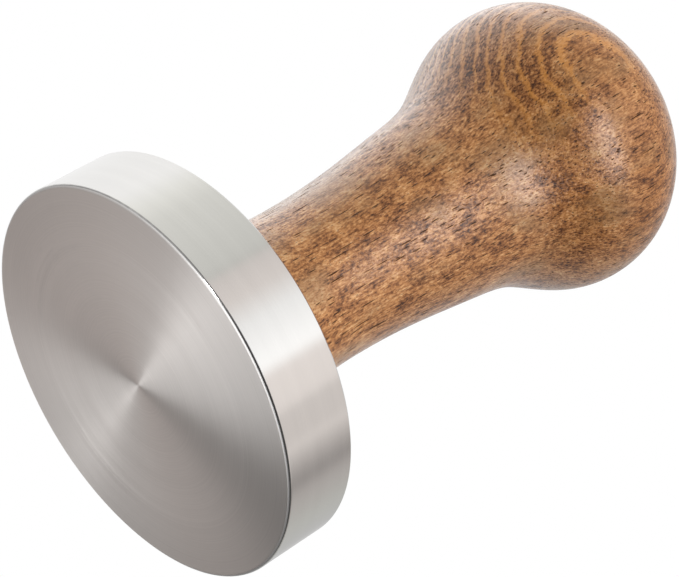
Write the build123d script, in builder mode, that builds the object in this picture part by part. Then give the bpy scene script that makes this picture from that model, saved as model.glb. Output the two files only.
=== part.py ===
"""Espresso tamper: a turned wooden handle that screws onto a solid steel base disc.

Sizes are in millimetres. The working face lies on z = 0 with its centre at the origin, and +Z runs
up the handle. Four pieces make the tamper: the base, a set screw locked in the base's blind tapped
hole, a knurled brass insert in the handle's foot, and the handle, which screws onto the set screw.
"""

import os
from math import asin, degrees, radians, tan

from build123d import *

# Base disc
BASE_DIAMETER = 58.0
BASE_THICKNESS = 11.2
WORKING_EDGE_RADIUS = 0.5
TOP_EDGE_CHAMFER = 0.35

# M8 x 1.25 thread. Each threaded wall is a plain cylinder close to the pitch diameter.
THREAD_MAJOR_DIAMETER = 8.0
THREAD_PITCH = 1.25
THREAD_PITCH_DIAMETER = 7.188
STUD_RADIUS = THREAD_PITCH_DIAMETER / 2
LOCKED_CLEARANCE = 0.02
RUNNING_CLEARANCE = 0.05
DRILL_POINT_ANGLE = 118.0

# Set screw, with a hexagon socket in its upper end
STUD_LENGTH = 20.0
STUD_DEPTH_IN_BASE = 7.0
STUD_END_CHAMFER = 0.7
SOCKET_ACROSS_FLATS = 4.0
SOCKET_DEPTH = 4.5

# Tapped hole in the base
TAPPED_HOLE_DEPTH = STUD_DEPTH_IN_BASE + 0.4
HOLE_ENTRY_CHAMFER = 0.5

# Brass insert, glued into the handle's foot
INSERT_LENGTH = 15.0
INSERT_RECESS = 0.3
FLANGE_RADIUS = 7.5
FLANGE_THICKNESS = 1.2
KNURL_RADIUS = 6.0
INSERT_BODY_RADIUS = 5.4
KNURL_BAND_LENGTH = 5.0
KNURL_BAND_GAP = 2.0
KNURL_TEETH = 32
KNURL_DEPTH = 0.45
INSERT_CLEARANCE = 0.05
POCKET_END_GAP = 1.0

# Handle profile: heights are above the foot
FOOT_RADIUS = 15.0
FOOT_EDGE_RADIUS = 0.6
FOOT_LAND = 2.0
NECK_RADIUS = 11.85
NECK_HEIGHT = 19.0
SWELL_POINTS = [(12.45, 31.5), (13.95, 43.5), (15.75, 52.0), (18.85, 58.0), (21.1, 62.4)]
KNOB_RADIUS = 22.1
KNOB_HEIGHT = 67.8
KNOB_CAP_HEIGHT = 17.6
QUARTER_ELLIPSE_RATIO = 0.5523  # places a curve's handles so that it follows a quarter ellipse

FOOT_Z = BASE_THICKNESS
INSERT_Z = FOOT_Z + INSERT_RECESS
HANDLE_TOP_Z = FOOT_Z + KNOB_HEIGHT + KNOB_CAP_HEIGHT


def drill_point(radius):
    """Height of the cone that a drill of this radius leaves at the end of its hole."""
    return radius / tan(radians(DRILL_POINT_ANGLE / 2))


def make_base():
    """Steel disc with a rounded working edge and a blind tapped hole in its top face."""
    hole_radius = STUD_RADIUS + LOCKED_CLEARANCE
    hole_floor = BASE_THICKNESS - TAPPED_HOLE_DEPTH
    with BuildPart() as base:
        Cylinder(BASE_DIAMETER / 2, BASE_THICKNESS, align=(Align.CENTER, Align.CENTER, Align.MIN))
        rims = base.edges().filter_by(GeomType.CIRCLE).sort_by(Axis.Z)
        fillet(rims[0], WORKING_EDGE_RADIUS)
        chamfer(base.edges().filter_by(GeomType.CIRCLE).sort_by(Axis.Z)[-1], TOP_EDGE_CHAMFER)
        with BuildSketch(Plane.XZ) as hole_profile:
            with BuildLine():
                Polyline(
                    (0, BASE_THICKNESS),
                    (hole_radius + HOLE_ENTRY_CHAMFER, BASE_THICKNESS),
                    (hole_radius, BASE_THICKNESS - HOLE_ENTRY_CHAMFER),
                    (hole_radius, hole_floor),
                    (0, hole_floor - drill_point(hole_radius)),
                    close=True,
                )
            make_face()
        revolve(hole_profile.sketch, axis=Axis.Z, mode=Mode.SUBTRACT)
    base.part.label = "base"
    return base.part


def make_stud():
    """Set screw with chamfered ends and a hexagon socket that opens upwards."""
    bottom = BASE_THICKNESS - STUD_DEPTH_IN_BASE
    with BuildPart() as stud:
        with BuildSketch(Plane.XY.offset(bottom)):
            Circle(STUD_RADIUS)
        extrude(amount=STUD_LENGTH)
        chamfer(stud.edges().filter_by(GeomType.CIRCLE), STUD_END_CHAMFER)
        with BuildSketch(Plane.XY.offset(bottom + STUD_LENGTH)):
            RegularPolygon(SOCKET_ACROSS_FLATS / 2, 6, major_radius=False)
        extrude(amount=-SOCKET_DEPTH, mode=Mode.SUBTRACT)
    stud.part.label = "threaded_stud"
    return stud.part


def make_insert():
    """Brass insert: a flange at the foot, then a body with two straight-knurled bands."""
    bore_radius = STUD_RADIUS + RUNNING_CLEARANCE
    first_band = INSERT_Z + INSERT_LENGTH - 2 * KNURL_BAND_LENGTH - KNURL_BAND_GAP
    second_band = first_band + KNURL_BAND_LENGTH + KNURL_BAND_GAP
    with BuildPart() as insert:
        with BuildSketch(Plane.XY.offset(INSERT_Z)):
            Circle(FLANGE_RADIUS)
        extrude(amount=FLANGE_THICKNESS)
        with BuildSketch(Plane.XY.offset(INSERT_Z)):
            Circle(INSERT_BODY_RADIUS)
        extrude(amount=INSERT_LENGTH)
        for band in (first_band, second_band):
            with BuildSketch(Plane.XY.offset(band)):
                Circle(KNURL_RADIUS)
                with PolarLocations(KNURL_RADIUS, KNURL_TEETH):
                    RegularPolygon(KNURL_DEPTH, 3, rotation=180, mode=Mode.SUBTRACT)
            extrude(amount=KNURL_BAND_LENGTH)
        with BuildSketch(Plane.XY.offset(INSERT_Z)):
            Circle(bore_radius)
        extrude(amount=INSERT_LENGTH, mode=Mode.SUBTRACT)
        bore_ends = insert.edges().filter_by(GeomType.CIRCLE).sort_by(SortBy.RADIUS)[:2]
        chamfer(bore_ends, HOLE_ENTRY_CHAMFER)
    insert.part.label = "threaded_insert"
    return insert.part


def make_handle():
    """Turned handle: a flared foot, a slim neck that swells, and a flattened round knob."""
    land_top = FOOT_Z + FOOT_LAND
    neck = (NECK_RADIUS, FOOT_Z + NECK_HEIGHT)
    knob_z = FOOT_Z + KNOB_HEIGHT
    flare = FOOT_RADIUS - NECK_RADIUS
    cove_drop = NECK_HEIGHT - FOOT_LAND
    cove_radius = (flare**2 + cove_drop**2) / (2 * flare)
    cove_angle = degrees(asin(cove_drop / cove_radius))
    with BuildPart() as handle:
        with BuildSketch(Plane.XZ) as profile:
            with BuildLine():
                Polyline((0, FOOT_Z), (FOOT_RADIUS, FOOT_Z), (FOOT_RADIUS, land_top))
                JernArc(start=neck, tangent=(0, -1), radius=cove_radius, arc_size=cove_angle)
                Spline(
                    neck,
                    *[(radius, FOOT_Z + height) for radius, height in SWELL_POINTS],
                    (KNOB_RADIUS, knob_z),
                    tangents=[(0, 1), (0, 1)],
                )
                Bezier(
                    (KNOB_RADIUS, knob_z),
                    (KNOB_RADIUS, knob_z + KNOB_CAP_HEIGHT * QUARTER_ELLIPSE_RATIO),
                    (KNOB_RADIUS * QUARTER_ELLIPSE_RATIO, HANDLE_TOP_Z),
                    (0, HANDLE_TOP_Z),
                )
                Line((0, HANDLE_TOP_Z), (0, FOOT_Z))
            make_face()
        revolve(profile.sketch, axis=Axis.Z)
        fillet(handle.edges().filter_by(GeomType.CIRCLE).sort_by(Axis.Z)[0], FOOT_EDGE_RADIUS)
        pocket_radius = KNURL_RADIUS + INSERT_CLEARANCE
        pocket_top = INSERT_Z + INSERT_LENGTH + POCKET_END_GAP
        flange_top = INSERT_Z + FLANGE_THICKNESS
        with BuildSketch(Plane.XZ) as pocket_profile:
            with BuildLine():
                Polyline(
                    (0, FOOT_Z),
                    (FLANGE_RADIUS + INSERT_CLEARANCE, FOOT_Z),
                    (FLANGE_RADIUS + INSERT_CLEARANCE, flange_top),
                    (pocket_radius, flange_top),
                    (pocket_radius, pocket_top),
                    (0, pocket_top + drill_point(pocket_radius)),
                    close=True,
                )
            make_face()
        revolve(pocket_profile.sketch, axis=Axis.Z, mode=Mode.SUBTRACT)
    handle.part.label = "handle"
    return handle.part


os.makedirs("parts", exist_ok=True)
for piece in (make_base(), make_stud(), make_insert(), make_handle()):
    export_step(piece, f"parts/{piece.label}.step")
    print(piece.label, "volume", round(piece.volume, 1))
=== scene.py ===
"""Espresso tamper: turned, stained wooden handle screwed onto a brushed steel base disc."""

import math

import bpy
from mathutils import Matrix, Vector


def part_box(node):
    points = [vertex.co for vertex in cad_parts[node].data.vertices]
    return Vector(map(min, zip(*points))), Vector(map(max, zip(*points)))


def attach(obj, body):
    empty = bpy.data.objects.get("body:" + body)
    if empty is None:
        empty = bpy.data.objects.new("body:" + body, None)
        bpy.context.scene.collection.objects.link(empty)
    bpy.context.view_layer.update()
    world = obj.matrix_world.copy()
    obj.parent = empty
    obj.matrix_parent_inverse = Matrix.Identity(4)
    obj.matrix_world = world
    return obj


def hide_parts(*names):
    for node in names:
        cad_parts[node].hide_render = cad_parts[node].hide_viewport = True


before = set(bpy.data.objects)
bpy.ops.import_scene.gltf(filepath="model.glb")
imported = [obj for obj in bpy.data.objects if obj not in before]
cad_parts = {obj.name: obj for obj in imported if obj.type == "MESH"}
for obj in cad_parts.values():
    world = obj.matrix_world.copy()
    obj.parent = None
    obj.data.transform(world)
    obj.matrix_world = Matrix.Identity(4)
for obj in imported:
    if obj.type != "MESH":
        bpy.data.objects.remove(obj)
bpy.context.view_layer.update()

# Shapes and textures are in millimetres. Lights, the camera's place and the depth of a bump are in metres.
MM = 0.001
THREAD_PITCH = 1.25
STUD_CREST, STUD_ROOT = 3.98, 3.24  # radii of the stud's thread
NUT_CREST, NUT_ROOT = 3.32, 4.06  # radii of the threads it screws into
FLANK = math.tan(math.radians(60))


def box_mm(node):
    """A node's lowest and highest corners."""
    low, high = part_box(node)
    return [v / MM for v in low], [v / MM for v in high]


# ---------------------------------------------------------------- turned meshes


def turned(name, rows, columns, closed=False):
    """A mesh of revolution in millimetres.

    A row is (radius, z), and the radius may be a function of the angle and z.
    """
    verts, faces, index = [], [], []
    for radius, z in rows:
        if radius == 0:
            index.append([len(verts)] * columns)
            verts.append((0, 0, z * MM))
            continue
        index.append(list(range(len(verts), len(verts) + columns)))
        for c in range(columns):
            a = 2 * math.pi * c / columns
            r = radius(a, z) if callable(radius) else radius
            verts.append((r * math.cos(a) * MM, r * math.sin(a) * MM, z * MM))
    pairs = list(zip(index, index[1:]))
    if closed:
        pairs.append((index[-1], index[0]))
    for low, high in pairs:
        for c in range(columns):
            d = (c + 1) % columns
            ring = [low[c], low[d], high[d], high[c]]
            faces.append([v for i, v in enumerate(ring) if v not in ring[:i]])
    mesh = bpy.data.meshes.new(name)
    mesh.from_pydata(verts, [], faces)
    mesh.validate()
    mesh.shade_smooth()
    mesh.set_sharp_from_angle(angle=math.radians(32))
    obj = bpy.data.objects.new(name, mesh)
    bpy.context.scene.collection.objects.link(obj)
    return obj


def arc(r, z, radius, start, end, steps):
    """Points (r, z) on an arc about (r, z), from start to end degrees."""
    return [
        (
            r + radius * math.cos(math.radians(start + (end - start) * i / steps)),
            z + radius * math.sin(math.radians(start + (end - start) * i / steps)),
        )
        for i in range(steps + 1)
    ]


def span(a, b, step):
    """Values from a to b in even steps no longer than step."""
    n = max(1, math.ceil(abs(b - a) / step))
    return [a + (b - a) * i / n for i in range(n + 1)]


def thread(crest, root, inside=False):
    """Radius of a right-hand thread at an angle and height."""

    def radius(angle, z):
        off = abs((z / THREAD_PITCH - angle / (2 * math.pi)) % 1 - 0.5) * THREAD_PITCH
        flat = THREAD_PITCH / 16
        if inside:
            return min(root, max(crest, root - FLANK * (off - flat)))
        return max(root, min(crest, crest - FLANK * (off - flat)))

    return radius


def hexagon(across_flats):
    """Radius of a hexagon at an angle and height."""
    return lambda angle, z: across_flats / 2 / math.cos((angle % (math.pi / 3)) - math.pi / 6)


# ---------------------------------------------------------------- base

(_, _, base_low), (base_r, _, base_top) = box_mm("base")
EDGE, TOP_CHAMFER = 0.5, 0.35
FLAT_FROM, FLAT_TO = -75, -45  # degrees round the edge: a narrow flat beside the face, then a round
HOLE_DEPTH, HOLE_MOUTH, DRILL_TIP = 7.4, 4.6, 2.0
hole_floor = base_top - HOLE_DEPTH
tapped = thread(NUT_CREST, NUT_ROOT, inside=True)

rows = [(0, base_low)] + [(r, base_low) for r in span(1.0, base_r - EDGE - 0.6, 2.0)]
rows += [(base_r - EDGE - 0.15, base_low)]
rows += arc(base_r - EDGE, base_low + EDGE, EDGE, -90, FLAT_FROM, 1)
rows += arc(base_r - EDGE, base_low + EDGE, EDGE, FLAT_TO, 0, 6)
rows += [(base_r, z) for z in span(base_low + EDGE + 0.15, base_top - TOP_CHAMFER - 0.1, 2.0)]
rows += [(base_r, base_top - TOP_CHAMFER), (base_r - TOP_CHAMFER, base_top)]
rows += [(r, base_top) for r in span(base_r - TOP_CHAMFER - 0.2, HOLE_MOUTH + 0.2, 2.5)]
rows += [(HOLE_MOUTH, base_top), (NUT_ROOT, base_top - (HOLE_MOUTH - NUT_ROOT))]
rows += [(tapped, z) for z in span(base_top - 0.65, hole_floor + 0.1, THREAD_PITCH / 16)]
rows += [(NUT_CREST, hole_floor), (0, hole_floor - DRILL_TIP)]
base = turned("base_disc", rows, 288)

# ---------------------------------------------------------------- set screw

(_, _, stud_low), (_, _, stud_high) = box_mm("threaded_stud")
END_RADIUS, SOCKET, SOCKET_DEPTH, SOCKET_TIP, SOCKET_BREAK = 2.9, 4.0, 4.5, 0.8, 0.15
cut = thread(STUD_CREST, STUD_ROOT)


def stud_wall(angle, z):
    """The thread, kept inside the chamfer at each end."""
    return min(cut(angle, z), END_RADIUS + min(z - stud_low, stud_high - z))


rows = [(0, stud_low)] + [(stud_wall, z) for z in span(stud_low, stud_high, THREAD_PITCH / 20)]
rows += [(hexagon(SOCKET + 2 * SOCKET_BREAK), stud_high), (hexagon(SOCKET), stud_high - SOCKET_BREAK)]
rows += [(hexagon(SOCKET), stud_high - SOCKET_DEPTH), (0, stud_high - SOCKET_DEPTH - SOCKET_TIP)]
stud = turned("set_screw", rows, 96)

# ---------------------------------------------------------------- insert

(_, _, ins_low), (flange_r, _, ins_high) = box_mm("threaded_insert")
FLANGE, FLANGE_BREAK, BODY_R, BORE_MOUTH = 1.2, 0.15, 5.4, NUT_ROOT + 0.2
KNURL_R, KNURL_DEPTH, TEETH = 6.0, 0.4, 32
BAND, BAND_GAP, BAND_BREAK = 5.0, 2.0, 0.3


def knurl(angle, z):
    """Straight V-shaped teeth."""
    across = abs((angle * TEETH / (2 * math.pi)) % 1 - 0.5) * 2
    return KNURL_R - KNURL_DEPTH * max(0.0, 1 - across * 1.6)


upper = ins_high - BAND
lower = upper - BAND_GAP - BAND
rows = [(BORE_MOUTH, ins_low), (flange_r - FLANGE_BREAK, ins_low), (flange_r, ins_low + FLANGE_BREAK)]
rows += [(flange_r, ins_low + FLANGE - FLANGE_BREAK), (flange_r - FLANGE_BREAK, ins_low + FLANGE)]
rows += [(BODY_R, ins_low + FLANGE)]
for start in (lower, upper):
    rows += [(BODY_R, start), (knurl, start + BAND_BREAK), (knurl, start + BAND - BAND_BREAK)]
    rows += [(BODY_R, start + BAND)]
rows += [(BORE_MOUTH, ins_high)]
rows += [(tapped, z) for z in span(ins_high - 0.5, ins_low + 0.5, THREAD_PITCH / 16)]
insert = turned("brass_insert", rows, 160, closed=True)

# ---------------------------------------------------------------- handle

(_, _, foot), (knob_r, _, top) = box_mm("handle")
FOOT_R, FOOT_EDGE, LAND = 15.0, 0.6, 2.0
NECK_R, NECK_H = 11.85, 19.0
SWELL = [(12.45, 31.5), (13.95, 43.5), (15.75, 52.0), (18.85, 58.0), (21.1, 62.4)]  # (radius, height)
CAP = 17.6  # height of the elliptical cap over the knob's widest place
GLUE_GAP, POCKET_END_GAP, DRILL_HALF_ANGLE = 0.05, 1.0, math.radians(59)
knob_h = top - CAP - foot


def curve_slopes(points):
    """Slopes of the smooth curve r(h) through points (r, h), flat at both ends."""
    n = len(points)
    r, h = [p[0] for p in points], [p[1] for p in points]
    up, on, down, rhs = [0.0] * n, [1.0] * n, [0.0] * n, [0.0] * n
    for i in range(1, n - 1):
        before, after = h[i] - h[i - 1], h[i + 1] - h[i]
        down[i], on[i], up[i] = 1 / before, 2 * (1 / before + 1 / after), 1 / after
        rhs[i] = 3 * ((r[i] - r[i - 1]) / before**2 + (r[i + 1] - r[i]) / after**2)
    for i in range(1, n):
        w = down[i] / on[i - 1]
        on[i] -= w * up[i - 1]
        rhs[i] -= w * rhs[i - 1]
    slope = [0.0] * n
    for i in range(n - 1, -1, -1):
        slope[i] = (rhs[i] - (up[i] * slope[i + 1] if i < n - 1 else 0)) / on[i]
    return slope


swell = [(NECK_R, NECK_H), *SWELL, (knob_r, knob_h)]
slopes = curve_slopes(swell)


def swell_radius(h):
    """Radius of the handle from its neck to its knob, at a height above its foot."""
    for (r0, h0), (r1, h1), m0, m1 in zip(swell, swell[1:], slopes, slopes[1:]):
        if h <= h1:
            w, t = h1 - h0, (h - h0) / (h1 - h0)
            a, b = (1 + 2 * t) * (1 - t) ** 2, t * (1 - t) ** 2
            return a * r0 + b * w * m0 + t * t * (3 - 2 * t) * r1 + t * t * (t - 1) * w * m1
    return knob_r


flare, drop = FOOT_R - NECK_R, NECK_H - LAND
cove = (flare**2 + drop**2) / (2 * flare)
pocket_r, pocket_top, flange_pocket = KNURL_R + GLUE_GAP, ins_high + POCKET_END_GAP, flange_r + GLUE_GAP
pocket_step = ins_low + FLANGE + 0.01
rows = [(0, pocket_top + pocket_r / math.tan(DRILL_HALF_ANGLE))]
rows += [(pocket_r, z) for z in span(pocket_top, pocket_step, 3.0)]
rows += [(flange_pocket, pocket_step), (flange_pocket, foot)]
rows += [(r, foot) for r in span(flange_pocket + 1.5, FOOT_R - FOOT_EDGE - 0.2, 2.0)]
rows += arc(FOOT_R - FOOT_EDGE, foot + FOOT_EDGE, FOOT_EDGE, -90, 0, 6)
rows += [(FOOT_R, foot + LAND - 0.4)]
rows += [
    (NECK_R + cove - math.sqrt(cove**2 - (NECK_H - h) ** 2), foot + h)
    for h in span(LAND, NECK_H, 1.0)
]
rows += [(swell_radius(h), foot + h) for h in span(NECK_H, knob_h, 0.8)[1:]]
rows += [
    (knob_r * math.cos(t), foot + knob_h + CAP * math.sin(t))
    for t in span(0, math.pi / 2, math.radians(2.5))[1:-1]
]
rows += [(0, top)]
handle = turned("turned_handle", rows, 256)

# ---------------------------------------------------------------- material helpers


class Nodes:
    """Short calls that add and link shader nodes."""

    def __init__(self, tree):
        self.tree = tree
        tree.nodes.clear()

    def add(self, kind, inputs=None, **settings):
        node = self.tree.nodes.new("ShaderNode" + kind)
        for key, value in settings.items():
            setattr(node, key, value)
        for key, value in (inputs or {}).items():
            socket = node.inputs[key]
            if isinstance(value, bpy.types.NodeSocket):
                self.tree.links.new(value, socket)
            else:
                socket.default_value = value
        return node

    def math(self, operation, a, b=0.0, clamp=False):
        return self.add("Math", {0: a, 1: b}, operation=operation, use_clamp=clamp).outputs[0]

    def smooth(self, value, low, high):
        """0 below low, 1 above high, smooth between."""
        ends = {"From Min": low, "From Max": high, "To Min": 0.0, "To Max": 1.0}
        node = self.add("MapRange", {"Value": value, **ends}, interpolation_type="SMOOTHSTEP")
        return node.outputs["Result"]

    def fall(self, value, low, high):
        """1 below low, 0 above high, smooth between."""
        return self.math("SUBTRACT", 1.0, self.smooth(value, low, high))

    def ramp(self, value, stops):
        """A colour for each value, from stops (value, colour)."""
        node = self.add("ValToRGB", {"Fac": value})
        ramp = node.color_ramp
        while len(ramp.elements) < len(stops):
            ramp.elements.new(0.5)
        for element, (at, color) in zip(ramp.elements, stops):
            element.position = at
            element.color = (*color, 1)
        return node.outputs["Color"]

    def mix(self, factor, a, b):
        """Colour a at factor 0, colour b at factor 1."""
        node = self.add("Mix", {"Factor": factor}, data_type="RGBA")
        for socket, value in ((node.inputs[6], a), (node.inputs[7], b)):
            if isinstance(value, bpy.types.NodeSocket):
                self.tree.links.new(value, socket)
            else:
                socket.default_value = (*value, 1)
        return node.outputs[2]

    def noise(self, place, scale, detail, rough, kind="3D"):
        inputs = {"Scale": scale, "Detail": detail, "Roughness": rough}
        inputs["W" if kind == "1D" else "Vector"] = place
        return self.add("TexNoise", inputs, noise_dimensions=kind).outputs["Fac"]

    def scaled(self, vector, x, y, z):
        """A place multiplied along each axis, so that a noise made from it is stretched or squeezed."""
        return self.add("Mapping", {"Vector": vector, "Scale": (x, y, z)}).outputs["Vector"]

    def between(self, value, from_low, from_high, to_low, to_high):
        """The value carried from one range into another, and held at its ends."""
        ranges = {"From Min": from_low, "From Max": from_high, "To Min": to_low, "To Max": to_high}
        return self.add("MapRange", {"Value": value, **ranges}).outputs["Result"]

    def distance(self, x, y):
        """How far (x, y) is from (0, 0)."""
        return self.math("SQRT", self.math("ADD", self.math("MULTIPLY", x, x), self.math("MULTIPLY", y, y)))


def material(name):
    mat = bpy.data.materials.new(name)
    mat.use_nodes = True
    return mat, Nodes(mat.node_tree)


def finish_material(nodes, shader):
    nodes.add("OutputMaterial", {"Surface": shader.outputs[0]})


def place_mm(nodes):
    """Object position in millimetres, and its three parts."""
    spot = nodes.add("TexCoord").outputs["Object"]
    scaled = nodes.add("VectorMath", {0: spot, 1: (1 / MM, 1 / MM, 1 / MM)}, operation="MULTIPLY")
    parts = nodes.add("SeparateXYZ", {0: scaled.outputs[0]})
    return scaled.outputs[0], parts.outputs[0], parts.outputs[1], parts.outputs[2]


MARKS_LOW, MARKS_HIGH = 0.30, 0.70  # the range that the noise of the tool marks fills
TOOL_MARKS = 3.4  # scale of the finest tool marks, in noise cells to the millimetre


def turned_steel(name, color, rough, spread, streak, bump, darker_to_rim=0.0):
    """Steel with fine concentric tool marks. It grows darker towards the rim, by as much as the given part of
    its colour.

    The marks run round Z, so the gloss spreads across them.
    """
    mat, n = material(name)
    _, x, y, z = place_mm(n)
    radius = n.distance(x, y)
    # how far along the profile a point is, so that the marks run on from the face to the wall
    across = n.math("ADD", radius, n.math("MULTIPLY", z, 1.7))
    angle = n.math("ARCTAN2", y, x)
    fine = n.noise(across, TOOL_MARKS, 3.0, 0.7, "1D")
    broad = n.noise(across, TOOL_MARKS / 9, 2.0, 0.5, "1D")
    around = {0: n.math("MULTIPLY", angle, 2.2), 1: n.math("MULTIPLY", across, 5.0), 2: 0.0}
    patchy = n.noise(n.add("CombineXYZ", around).outputs[0], 1.0, 3.0, 0.6)
    marks = n.math("MULTIPLY", n.math("ADD", broad, patchy), 0.25)
    marks = n.math("ADD", n.math("MULTIPLY", fine, 0.5), marks)
    dark, pale = [c * (1 - streak) for c in color], [min(1, c * (1 + streak)) for c in color]
    tone = n.ramp(marks, [(MARKS_LOW, dark), (MARKS_HIGH, pale)])
    # the face darkens towards its rim
    if darker_to_rim:
        tone = n.mix(n.math("MULTIPLY", n.smooth(radius, 17.0, 28.0), darker_to_rim), tone, (0.0, 0.0, 0.0))
    rough_map = n.between(marks, MARKS_LOW, MARKS_HIGH, rough * 0.86, rough * 1.14)
    relief = n.add("Bump", {"Strength": 0.35, "Distance": bump, "Height": fine})
    tangent = n.add("Tangent", direction_type="RADIAL", axis="Z")
    shader = n.add(
        "BsdfPrincipled",
        {
            "Base Color": tone,
            "Metallic": 1.0,
            "Roughness": rough_map,
            "Anisotropic": spread,
            "Anisotropic Rotation": 0.25,
            "Tangent": tangent.outputs[0],
            "Normal": relief.outputs[0],
        },
    )
    finish_material(n, shader)
    return mat


def plain_metal(name, color, dark, rough):
    """Machined metal with faint mottling."""
    mat, n = material(name)
    spot, _, _, _ = place_mm(n)
    mottle = n.noise(spot, 1.3, 4.0, 0.6)
    fine = n.noise(spot, 9.0, 2.0, 0.5)
    tone = n.mix(n.smooth(mottle, 0.35, 0.7), color, dark)
    relief = n.add("Bump", {"Strength": 0.2, "Distance": 0.00002, "Height": fine})
    rough_map = n.between(mottle, 0.3, 0.7, rough * 0.85, rough * 1.25)
    shader = n.add(
        "BsdfPrincipled",
        {"Base Color": tone, "Metallic": 1.0, "Roughness": rough_map, "Normal": relief.outputs[0]},
    )
    finish_material(n, shader)
    return mat


# ---------------------------------------------------------------- wood

RING_AZIMUTH = math.radians(-103.2)  # the growth rings lie square to this direction
PITH_DEPTH = 69.65  # how far behind the axis the tree's centre is, in millimetres
RING_WIDTH = 1.45
# wood colours from the deepest brown to the palest tan
WOOD_TONES = [
    (0.10, (0.034, 0.010, 0.003)),
    (0.30, (0.150, 0.050, 0.011)),
    (0.50, (0.330, 0.129, 0.033)),
    (0.70, (0.490, 0.225, 0.070)),
    (0.95, (0.640, 0.370, 0.165)),
]
ASHY, GOLD, PORE = (0.17, 0.092, 0.036), (0.56, 0.225, 0.034), (0.018, 0.009, 0.005)


def growth_rings(n, spot, x, y):
    """How far into its ring each point is, 0 to 1, on rings about a pith well behind the handle."""
    c, s = math.cos(RING_AZIMUTH), math.sin(RING_AZIMUTH)
    deep = n.math("ADD", n.math("MULTIPLY", x, c), n.math("MULTIPLY", y, s))
    side = n.math("SUBTRACT", n.math("MULTIPLY", y, c), n.math("MULTIPLY", x, s))
    wander = n.noise(n.scaled(spot, 0.07, 0.07, 0.022), 1.0, 2.0, 0.5)
    ripple = n.noise(n.scaled(spot, 0.30, 0.30, 0.09), 1.0, 2.0, 0.5)
    ragged = n.noise(n.scaled(spot, 2.0, 2.0, 0.9), 1.0, 2.0, 0.6)
    for noise, shift in ((wander, 4.0), (ripple, 0.9), (ragged, 0.8)):
        deep = n.math("ADD", deep, n.math("MULTIPLY", n.math("SUBTRACT", noise, 0.5), shift))
    depth = n.math("ADD", deep, PITH_DEPTH)
    return n.math("FRACT", n.math("DIVIDE", n.distance(depth, side), RING_WIDTH))


def streaks(n, spot, across, along, low, high):
    """Dashes along the grain: 1 inside, 0 outside."""
    cells = n.add("TexVoronoi", {"Vector": n.scaled(spot, across, across, along), "Scale": 1.0}, feature="F1")
    return n.fall(cells.outputs["Distance"], low, high)


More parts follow.
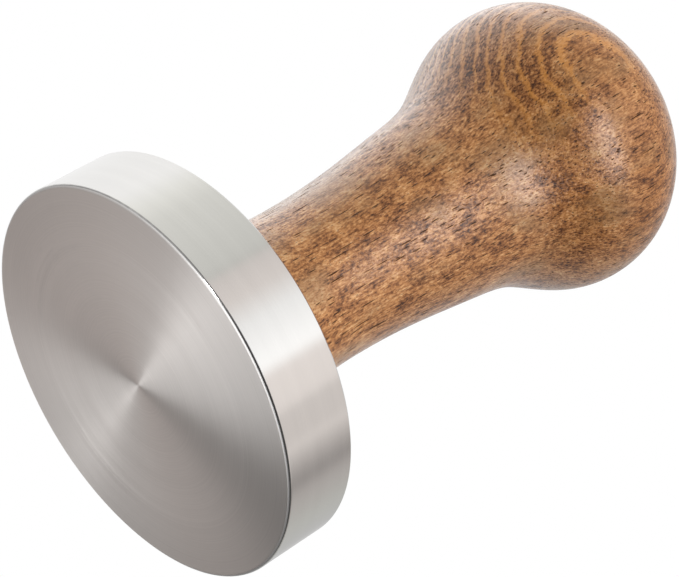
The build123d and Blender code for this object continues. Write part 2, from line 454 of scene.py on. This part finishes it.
def stained_wood():
    """Open-pored hardwood under dark stain and satin varnish, as a solid texture in millimetres."""
    mat, n = material("stained_ash")
    spot, x, y, z = place_mm(n)
    phase = growth_rings(n, spot, x, y)
    # dense late wood is a narrow bright band at the end of each ring, sharp on its outer side
    late = n.math("MULTIPLY", n.smooth(phase, 0.55, 0.80), n.fall(phase, 0.88, 1.0))

    # where on the handle each tone lies, 0 to 1
    knob = n.smooth(z, 60.0, 70.0)
    crown = n.smooth(z, 72.0, 79.0)
    foot_part = n.fall(z, 32.0, 42.0)
    right_side = n.smooth(x, 0.0, 12.0)
    left_side = n.smooth(n.math("MULTIPLY", x, -1.0), -1.0, 8.0)
    front_left = n.math("SUBTRACT", 1.0, n.math("MULTIPLY", n.smooth(y, -6.0, 12.0), 0.6))
    front_left = n.math("MULTIPLY", left_side, front_left)
    # the rings show clearly on the knob's front left
    clear = n.math("MULTIPLY", knob, n.math("ADD", 0.15, n.math("MULTIPLY", front_left, 0.85)))
    # painted shade darkens the knob on its right, most towards its crown
    painted_right_shade = n.math("ADD", n.math("MULTIPLY", crown, -0.08), n.math("MULTIPLY", knob, -0.02))
    painted_light_and_foot_tone = n.math("MULTIPLY", right_side, painted_right_shade)
    # painted light makes the crown paler where the rings show
    painted_light_and_foot_tone = n.math("ADD", painted_light_and_foot_tone, n.math("MULTIPLY", n.math("MULTIPLY", crown, clear), 0.06))
    # the foot is paler
    painted_light_and_foot_tone = n.math("ADD", painted_light_and_foot_tone, n.math("MULTIPLY", foot_part, 0.035))

    patch = n.noise(n.scaled(spot, 0.16, 0.16, 0.07), 1.0, 3.0, 0.55)
    fleck = n.noise(n.scaled(spot, 0.60, 0.60, 0.30), 1.0, 3.0, 0.6)
    grit = n.noise(n.scaled(spot, 3.0, 3.0, 1.4), 1.0, 4.0, 0.7)
    fibre = n.noise(n.scaled(spot, 4.0, 4.0, 0.25), 1.0, 3.0, 0.6)

    # short pores crowd together where the wood is flecked
    crowd = n.smooth(fleck, 0.36, 0.62)
    long_pores = streaks(n, spot, 2.2, 0.12, 0.14, 0.24)
    short_pores = streaks(n, spot, 3.6, 1.1, 0.12, 0.32)
    short_pores = n.math("MULTIPLY", short_pores, n.math("ADD", 0.2, n.math("MULTIPLY", crowd, 0.5)))
    pit = n.math("MAXIMUM", long_pores, short_pores)

    # all the mottling makes one value, from the deepest brown to the palest tan
    mottle = 0.0
    for noise, weight in ((patch, 0.65), (fleck, 0.95), (grit, 1.55), (fibre, 0.85)):
        mottle = n.math("ADD", mottle, n.math("MULTIPLY", n.math("SUBTRACT", noise, 0.5), weight))
    calm = n.math("SUBTRACT", 1.0, n.math("MULTIPLY", crown, 0.22))
    value = n.math("ADD", n.math("MULTIPLY", mottle, calm), 0.52)
    band = n.math("MULTIPLY", n.math("SUBTRACT", late, 0.40), n.math("MULTIPLY", clear, 0.18))
    # the late wood's bands, and the painted light and shade with the paler foot, go into the value
    value = n.math("ADD", n.math("ADD", value, band), painted_light_and_foot_tone)
    tone = n.ramp(value, WOOD_TONES)
    tone = n.mix(n.math("MULTIPLY", n.smooth(patch, 0.46, 0.66), 0.45), tone, ASHY)
    tone = n.mix(n.math("MULTIPLY", late, n.math("MULTIPLY", clear, 0.55)), tone, GOLD)
    tone = n.mix(n.math("MULTIPLY", pit, 0.85), tone, PORE)

    height = n.math("SUBTRACT", n.math("MULTIPLY", grit, 0.9), pit)
    relief = n.add("Bump", {"Strength": 0.4, "Distance": 0.00010, "Height": height})
    rough = n.between(pit, 0.0, 1.0, 0.36, 0.80)
    # the varnish lies thinnest over the dark open grain, and it follows the painted light and shade in the
    # value too
    varnish = n.math("ADD", 0.60, n.math("MULTIPLY", n.smooth(value, 0.25, 0.65), 0.40))
    varnish = n.math("MULTIPLY", varnish, n.math("SUBTRACT", 1.0, pit), clamp=True)
    shader = n.add(
        "BsdfPrincipled",
        {
            "Base Color": tone,
            "Roughness": rough,
            "Specular IOR Level": 0.10,
            "Coat Weight": varnish,
            "Coat Roughness": 0.20,
            "Coat IOR": 1.5,
            "Coat Normal": relief.outputs[0],
            "Normal": relief.outputs[0],
        },
    )
    finish_material(n, shader)
    return mat


# ---------------------------------------------------------------- finishes

# the base's finishes, each for the faces that look down by more than its limit: 1 is straight down
BASE_FINISHES = [
    (0.96, turned_steel("turned_steel_face", (0.66, 0.638, 0.62), 0.48, 0.84, 0.075, 0.00002, darker_to_rim=0.08)),
    (0.75, turned_steel("edge_steel", (0.70, 0.69, 0.68), 0.42, 0.0, 0.04, 0.000006)),
    # the edge break reflects like a mirror, and its darker colour adds painted shade to the dark line round
    # the rim
    (0.25, plain_metal("edge_break_steel_painted_shade", (0.50, 0.49, 0.48), (0.42, 0.41, 0.40), 0.15)),
    (-1.0, turned_steel("turned_steel_wall", (0.70, 0.69, 0.675), 0.18, 0.95, 0.04, 0.000006)),
]
for _, finish in BASE_FINISHES:
    base.data.materials.append(finish)
for face in base.data.polygons:
    down = -face.normal.z if face.center.z < EDGE * MM else 0.0
    face.material_index = next(i for i, (limit, _) in enumerate(BASE_FINISHES) if down > limit)
stud.data.materials.append(plain_metal("set_screw_steel", (0.42, 0.42, 0.43), (0.30, 0.30, 0.31), 0.32))
insert.data.materials.append(plain_metal("machined_brass", (0.72, 0.52, 0.24), (0.60, 0.41, 0.17), 0.26))
handle.data.materials.append(stained_wood())

for piece, body, node, slot in (
    (base, "base_body", "base", "base_steel"),
    (stud, "base_body", "threaded_stud", "stud_steel"),
    (insert, "handle_body", "threaded_insert", "insert_brass"),
    (handle, "handle_body", "handle", "handle_wood"),
):
    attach(piece, body)
    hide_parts(node)

# ---------------------------------------------------------------- floor

FLOOR_RADII = [1500, 800, 420, 220, 120, 70, 45, 34, 28.4, 26.0]
FLOOR_DROP = 0.05  # keeps the floor just clear of the working face


def floor_mesh():
    """A wide flat ring round the base's footprint."""
    obj = turned("floor", [(r, -FLOOR_DROP) for r in FLOOR_RADII], 96)
    # the base and handle see the studio's light through it, as they would in mid air
    obj.visible_diffuse = obj.visible_glossy = obj.visible_shadow = obj.visible_transmission = False
    return obj


def floor_material():
    """Pale matt floor. It can't be seen from below, and it fades into the backdrop far away."""
    mat, n = material("pale_floor")
    _, x, y, _ = place_mm(n)
    far = n.smooth(n.distance(x, y), 150.0, 700.0)
    below = n.add("NewGeometry").outputs["Backfacing"]
    paint = n.add("BsdfDiffuse", {"Color": (0.80, 0.795, 0.785, 1)})
    clear = n.add("BsdfTransparent")
    gone = n.math("MAXIMUM", below, far)
    shader = n.add("MixShader", {0: gone, 1: paint.outputs[0], 2: clear.outputs[0]})
    finish_material(n, shader)
    return mat


floor = floor_mesh()
floor.data.materials.append(floor_material())

# ---------------------------------------------------------------- light

world = bpy.data.worlds.new("studio")
bpy.context.scene.world = world
world.use_nodes = True
w = Nodes(world.node_tree)
direction = w.add("SeparateXYZ", {0: w.add("TexCoord").outputs["Generated"]})
dx, dy, dz = direction.outputs
azimuth = w.math("ARCTAN2", dx, w.math("MULTIPLY", dy, -1.0))
turn = w.math("ADD", w.math("DIVIDE", azimuth, 2 * math.pi), 0.5)

NEUTRAL, GREENISH, PINKISH = (1, 1, 1), (1, 1, 0.955), (1.04, 0.97, 0.935)
STORED = 0.5  # the part of the light that is stored, because a ramp holds at most 1


def studio(stops):
    """Stops (azimuth in degrees, brightness, tint) as ramp stops."""
    return [((a + 180) / 360, [b * STORED * t for t in tint]) for a, b, tint in stops]


# the studio's walls, as light above the horizon, just below it and well below it
UPPER = [(-180, 1.05, NEUTRAL), (-100, 1.22, NEUTRAL), (-84, 1.05, GREENISH), (-72, 0.90, GREENISH)]
UPPER += [(-50, 0.84, GREENISH), (-32, 0.77, GREENISH), (-29, 0.70, GREENISH), (-26, 0.79, PINKISH)]
UPPER += [(-12, 0.90, PINKISH), (2, 1.20, NEUTRAL), (25, 1.46, NEUTRAL), (31, 1.05, PINKISH)]
UPPER += [(50, 1.02, PINKISH), (52, 0.82, PINKISH), (69, 0.80, PINKISH), (72, 0.95, PINKISH)]
UPPER += [(76, 0.80, PINKISH), (85, 0.56, PINKISH), (95, 0.35, PINKISH), (104, 0.54, PINKISH)]
UPPER += [(130, 0.62, GREENISH), (155, 0.60, NEUTRAL), (170, 0.80, NEUTRAL), (180, 0.95, NEUTRAL)]
SKIRT = [(-180, 0.25, NEUTRAL), (-130, 0.48, NEUTRAL), (-80, 0.75, NEUTRAL), (-40, 0.35, NEUTRAL)]
SKIRT += [(10, 0.14, NEUTRAL), (110, 0.09, NEUTRAL), (180, 0.25, NEUTRAL)]
LOWER = [(-180, 0.33, PINKISH), (-135, 0.50, PINKISH), (-90, 0.95, NEUTRAL), (-45, 0.61, NEUTRAL)]
LOWER += [(0, 0.14, NEUTRAL), (45, 0.08, NEUTRAL), (90, 0.13, NEUTRAL), (135, 0.18, NEUTRAL)]
LOWER += [(180, 0.33, PINKISH)]
CEILING = (0.30, 0.30, 0.30)  # as stored, dimmer than the walls
upper_light, skirt_light, lower_light = [w.ramp(turn, studio(row)) for row in (UPPER, SKIRT, LOWER)]
sky = w.mix(w.smooth(dz, -0.44, -0.36), lower_light, skirt_light)
sky = w.mix(w.smooth(dz, -0.08, 0.08), sky, upper_light)
sky = w.mix(w.smooth(dz, 0.80, 0.97), sky, CEILING)
lit = w.add("Background", {"Color": sky, "Strength": 1 / STORED})
backdrop = w.add("Background", {"Color": (1, 1, 1, 1), "Strength": 1.0})
seen = w.add("LightPath").outputs["Is Camera Ray"]
mixed = w.add("MixShader", {0: seen, 1: lit.outputs[0], 2: backdrop.outputs[0]})
w.add("OutputWorld", {"Surface": mixed.outputs[0]})


def lit_group(name, *pieces):
    """A collection of the pieces that a softbox lights."""
    group = bpy.data.collections.new(name)
    for piece in pieces:
        group.objects.link(piece)
    return group


def softbox(name, group, azimuth_deg, elevation_deg, distance, size, radiance, height=0.0, color=(1, 1, 1)):
    """A softbox that faces the axis at a height. Azimuth 0 is in front, and a minus elevation is below."""
    a, e = math.radians(azimuth_deg), math.radians(elevation_deg)
    toward = Vector((math.sin(a) * math.cos(e), -math.cos(a) * math.cos(e), math.sin(e)))
    data = bpy.data.lights.new(name, "AREA")
    data.shape, data.size, data.size_y = "RECTANGLE", *size
    data.energy = radiance * math.pi * size[0] * size[1]
    data.color = color
    obj = bpy.data.objects.new(name, data)
    bpy.context.scene.collection.objects.link(obj)
    obj.location = Vector((0, 0, height)) + toward * distance
    obj.rotation_euler = toward.to_track_quat("Z", "Y").to_euler()
    obj.visible_camera = False
    obj.light_linking.receiver_collection = group
    return obj


wood_lit, base_lit = lit_group("wood_lit", handle), lit_group("base_lit", base)
HANDLE_MIDDLE = 0.06
key = softbox("key_softbox", wood_lit, 16, 16, 0.45, (0.50, 0.26), 3.1, HANDLE_MIDDLE)
left = softbox("left_softbox", wood_lit, -112, 22, 0.45, (0.56, 0.52), 0.95, HANDLE_MIDDLE)
right = softbox("right_softbox", wood_lit, 76, 8, 0.45, (0.40, 0.40), 1.45, HANDLE_MIDDLE)
fill = softbox("fill_softbox", wood_lit, -30, -30, 0.60, (0.50, 0.50), 0.2, HANDLE_MIDDLE)
gloss = softbox("gloss_softbox", wood_lit, 22, 5, 0.12, (0.10, 0.043), 5.2, HANDLE_MIDDLE)
# some only shade the wood, and some only shine on its varnish
key.visible_glossy = right.visible_glossy = fill.visible_glossy = False
left.visible_diffuse = gloss.visible_diffuse = False
softbox("under_softbox", base_lit, 48, -82, 0.086, (0.104, 0.060), 1.85)
softbox("back_softbox", base_lit, -170, -22, 0.201, (0.050, 0.168), 0.80, color=(1.0, 0.86, 0.81))
softbox("streak_softbox", base_lit, -26, -45, 0.866, (0.056, 0.170), 48.0)

# ---------------------------------------------------------------- camera

# the photo's camera, found from the two rims of the base: its right, up and back directions are its axes
LENS, SENSOR = 133.69, 36.0
CAMERA_PLACE = (0.0, -0.294127, -0.159679)
CAMERA_AXES = (
    (0.51127, -0.47812, 0.71414),
    (-0.85938, -0.27692, 0.42986),
    (-0.00776, -0.83349, -0.55247),
)

camera_data = bpy.data.cameras.new("camera")
camera_data.lens, camera_data.sensor_width = LENS, SENSOR
camera_data.clip_start, camera_data.clip_end = 0.01, 10.0
camera = bpy.data.objects.new("camera", camera_data)
bpy.context.scene.collection.objects.link(camera)
placed = Matrix(CAMERA_AXES).transposed().to_4x4()
placed.translation = CAMERA_PLACE
camera.matrix_world = placed
bpy.context.scene.camera = camera
bpy.context.scene.view_settings.view_transform = "Standard"
bpy.context.scene.view_settings.look = "None"
